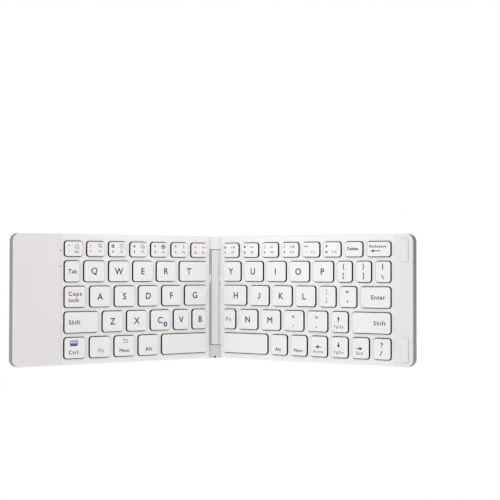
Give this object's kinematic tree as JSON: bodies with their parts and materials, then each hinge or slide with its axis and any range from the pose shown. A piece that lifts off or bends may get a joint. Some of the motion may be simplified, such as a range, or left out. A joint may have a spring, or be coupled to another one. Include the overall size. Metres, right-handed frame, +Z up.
{
  "type": "folding keyboard",
  "caption": "Two-half folding keyboard on a twin-axis spine, with white travelling keys, thin aluminium backs, magnets that hold it shut and a charge port.",
  "frame": {"origin": "on the ground under the spine, midway between the two hinge axes, on the bottom face of the lower hinge cap", "axes": "+Z up along both hinge axes, from the edge it stands on to the far edge; -Y the way the keys face; +X towards the right half. Each half is folded 30 degrees from flat."},
  "size_m": [0.2814, 0.0842, 0.0925],
  "materials": {
    "key_plastic": "satin",
    "deck_plastic": "satin",
    "spine_plastic": "satin",
    "aluminium": "sandblasted",
    "steel": "brushed",
    "magnet": "nickel plated",
    "black_steel": "black oxide",
    "flex_film": "satin",
    "silicone": "matte",
    "link_plastic": "satin",
    "battery_foil": "foil",
    "board": "solder mask",
    "light_pipe": "clear",
    "pad_rubber": "soft",
    "foot_rubber": "matte"
  },
  "bodies": {
    "spine": {"spine_housing": "aluminium", "spine_front_plate": "spine_plastic", "top_hinge_cap": "spine_plastic", "bottom_hinge_cap": "spine_plastic", "hinge_pins": "steel", "spine_screw": "black_steel", "flex_cable": "flex_film"},
    "left_half": {"left_back_cover": "aluminium", "left_key_frame": "deck_plastic", "left_end_panel": "deck_plastic", "left_base_plate": "steel", "left_dome_membrane": "silicone", "left_scissor_links": "link_plastic", "left_magnets": "magnet", "left_feet": "foot_rubber", "left_screws": "steel", "battery": "battery_foil", "circuit_board": "board", "charge_port": "steel", "indicator_lights": "light_pipe"},
    "right_half": {"right_back_cover": "aluminium", "right_key_frame": "deck_plastic", "right_end_panel": "deck_plastic", "right_base_plate": "steel", "right_dome_membrane": "silicone", "right_scissor_links": "link_plastic", "right_magnets": "magnet", "right_feet": "foot_rubber", "right_screws": "steel", "bumper_pads": "pad_rubber"},
    "left_number_keys": {"left_number_keys": "key_plastic"},
    "tab_key": {"tab_key": "key_plastic"},
    "qwert_keys": {"qwert_keys": "key_plastic"},
    "caps_key": {"caps_key": "key_plastic"},
    "asdfg_keys": {"asdfg_keys": "key_plastic"},
    "left_shift_key": {"left_shift_key": "key_plastic"},
    "zxcvb_keys": {"zxcvb_keys": "key_plastic"},
    "control_key": {"control_key": "key_plastic"},
    "left_fn_key": {"left_fn_key": "key_plastic"},
    "left_menu_key": {"left_menu_key": "key_plastic"},
    "left_alt_key": {"left_alt_key": "key_plastic"},
    "left_space_key": {"left_space_key": "key_plastic"},
    "right_number_keys": {"right_number_keys": "key_plastic"},
    "delete_key": {"delete_key": "key_plastic"},
    "backspace_key": {"backspace_key": "key_plastic"},
    "punctuation_keys": {"punctuation_keys": "key_plastic"},
    "yuiop_keys": {"yuiop_keys": "key_plastic"},
    "hjkl_keys": {"hjkl_keys": "key_plastic"},
    "enter_key": {"enter_key": "key_plastic"},
    "nm_keys": {"nm_keys": "key_plastic"},
    "right_fn_key": {"right_fn_key": "key_plastic"},
    "right_shift_key": {"right_shift_key": "key_plastic"},
    "arrow_up_key": {"arrow_up_key": "key_plastic"},
    "arrow_left_key": {"arrow_left_key": "key_plastic"},
    "arrow_down_key": {"arrow_down_key": "key_plastic"},
    "arrow_right_key": {"arrow_right_key": "key_plastic"},
    "slash_key": {"slash_key": "key_plastic"},
    "right_menu_key": {"right_menu_key": "key_plastic"},
    "right_alt_key": {"right_alt_key": "key_plastic"},
    "right_space_key": {"right_space_key": "key_plastic"}
  },
  "joints": [
    {"name": "fold_left", "type": "hinge", "parent": "spine", "child": "left_half", "pos_m": [-0.004, 0, 0], "axis": [0, 0, 1], "range_deg": [-30, 60], "deforming": ["flex_cable"]},
    {"name": "fold_right", "type": "hinge", "parent": "spine", "child": "right_half", "pos_m": [0.004, 0, 0], "axis": [0, 0, -1], "range_deg": [-30, 60]},
    {"name": "press_left_number_keys", "type": "slide", "parent": "left_half", "child": "left_number_keys", "axis": [-0.5, 0.866, 0], "range_m": [0, 0.0014], "stiffness_N_per_m": 400},
    {"name": "press_tab_key", "type": "slide", "parent": "left_half", "child": "tab_key", "axis": [-0.5, 0.866, 0], "range_m": [0, 0.0014], "stiffness_N_per_m": 400, "deforming": ["left_dome_membrane", "left_scissor_links"]},
    {"name": "press_qwert_keys", "type": "slide", "parent": "left_half", "child": "qwert_keys", "axis": [-0.5, 0.866, 0], "range_m": [0, 0.0014], "stiffness_N_per_m": 400},
    {"name": "press_caps_key", "type": "slide", "parent": "left_half", "child": "caps_key", "axis": [-0.5, 0.866, 0], "range_m": [0, 0.0014], "stiffness_N_per_m": 400},
    {"name": "press_asdfg_keys", "type": "slide", "parent": "left_half", "child": "asdfg_keys", "axis": [-0.5, 0.866, 0], "range_m": [0, 0.0014], "stiffness_N_per_m": 400},
    {"name": "press_left_shift_key", "type": "slide", "parent": "left_half", "child": "left_shift_key", "axis": [-0.5, 0.866, 0], "range_m": [0, 0.0014], "stiffness_N_per_m": 400},
    {"name": "press_zxcvb_keys", "type": "slide", "parent": "left_half", "child": "zxcvb_keys", "axis": [-0.5, 0.866, 0], "range_m": [0, 0.0014], "stiffness_N_per_m": 400},
    {"name": "press_control_key", "type": "slide", "parent": "left_half", "child": "control_key", "axis": [-0.5, 0.866, 0], "range_m": [0, 0.0014], "stiffness_N_per_m": 400},
    {"name": "press_left_fn_key", "type": "slide", "parent": "left_half", "child": "left_fn_key", "axis": [-0.5, 0.866, 0], "range_m": [0, 0.0014], "stiffness_N_per_m": 400},
    {"name": "press_left_menu_key", "type": "slide", "parent": "left_half", "child": "left_menu_key", "axis": [-0.5, 0.866, 0], "range_m": [0, 0.0014], "stiffness_N_per_m": 400},
    {"name": "press_left_alt_key", "type": "slide", "parent": "left_half", "child": "left_alt_key", "axis": [-0.5, 0.866, 0], "range_m": [0, 0.0014], "stiffness_N_per_m": 400},
    {"name": "press_left_space_key", "type": "slide", "parent": "left_half", "child": "left_space_key", "axis": [-0.5, 0.866, 0], "range_m": [0, 0.0014], "stiffness_N_per_m": 400},
    {"name": "press_right_number_keys", "type": "slide", "parent": "right_half", "child": "right_number_keys", "axis": [0.5, 0.866, 0], "range_m": [0, 0.0014], "stiffness_N_per_m": 400},
    {"name": "press_delete_key", "type": "slide", "parent": "right_half", "child": "delete_key", "axis": [0.5, 0.866, 0], "range_m": [0, 0.0014], "stiffness_N_per_m": 400},
    {"name": "press_backspace_key", "type": "slide", "parent": "right_half", "child": "backspace_key", "axis": [0.5, 0.866, 0], "range_m": [0, 0.0014], "stiffness_N_per_m": 400},
    {"name": "press_punctuation_keys", "type": "slide", "parent": "right_half", "child": "punctuation_keys", "axis": [0.5, 0.866, 0], "range_m": [0, 0.0014], "stiffness_N_per_m": 400},
    {"name": "press_yuiop_keys", "type": "slide", "parent": "right_half", "child": "yuiop_keys", "axis": [0.5, 0.866, 0], "range_m": [0, 0.0014], "stiffness_N_per_m": 400},
    {"name": "press_hjkl_keys", "type": "slide", "parent": "right_half", "child": "hjkl_keys", "axis": [0.5, 0.866, 0], "range_m": [0, 0.0014], "stiffness_N_per_m": 400},
    {"name": "press_enter_key", "type": "slide", "parent": "right_half", "child": "enter_key", "axis": [0.5, 0.866, 0], "range_m": [0, 0.0014], "stiffness_N_per_m": 400, "deforming": ["right_dome_membrane", "right_scissor_links"]},
    {"name": "press_nm_keys", "type": "slide", "parent": "right_half", "child": "nm_keys", "axis": [0.5, 0.866, 0], "range_m": [0, 0.0014], "stiffness_N_per_m": 400},
    {"name": "press_right_fn_key", "type": "slide", "parent": "right_half", "child": "right_fn_key", "axis": [0.5, 0.866, 0], "range_m": [0, 0.0014], "stiffness_N_per_m": 400},
    {"name": "press_right_shift_key", "type": "slide", "parent": "right_half", "child": "right_shift_key", "axis": [0.5, 0.866, 0], "range_m": [0, 0.0014], "stiffness_N_per_m": 400},
    {"name": "press_arrow_up_key", "type": "slide", "parent": "right_half", "child": "arrow_up_key", "axis": [0.5, 0.866, 0], "range_m": [0, 0.0014], "stiffness_N_per_m": 400},
    {"name": "press_arrow_left_key", "type": "slide", "parent": "right_half", "child": "arrow_left_key", "axis": [0.5, 0.866, 0], "range_m": [0, 0.0014], "stiffness_N_per_m": 400},
    {"name": "press_arrow_down_key", "type": "slide", "parent": "right_half", "child": "arrow_down_key", "axis": [0.5, 0.866, 0], "range_m": [0, 0.0014], "stiffness_N_per_m": 400},
    {"name": "press_arrow_right_key", "type": "slide", "parent": "right_half", "child": "arrow_right_key", "axis": [0.5, 0.866, 0], "range_m": [0, 0.0014], "stiffness_N_per_m": 400},
    {"name": "press_slash_key", "type": "slide", "parent": "right_half", "child": "slash_key", "axis": [0.5, 0.866, 0], "range_m": [0, 0.0014], "stiffness_N_per_m": 400},
    {"name": "press_right_menu_key", "type": "slide", "parent": "right_half", "child": "right_menu_key", "axis": [0.5, 0.866, 0], "range_m": [0, 0.0014], "stiffness_N_per_m": 400},
    {"name": "press_right_alt_key", "type": "slide", "parent": "right_half", "child": "right_alt_key", "axis": [0.5, 0.866, 0], "range_m": [0, 0.0014], "stiffness_N_per_m": 400},
    {"name": "press_right_space_key", "type": "slide", "parent": "right_half", "child": "right_space_key", "axis": [0.5, 0.866, 0], "range_m": [0, 0.0014], "stiffness_N_per_m": 400}
  ]
}
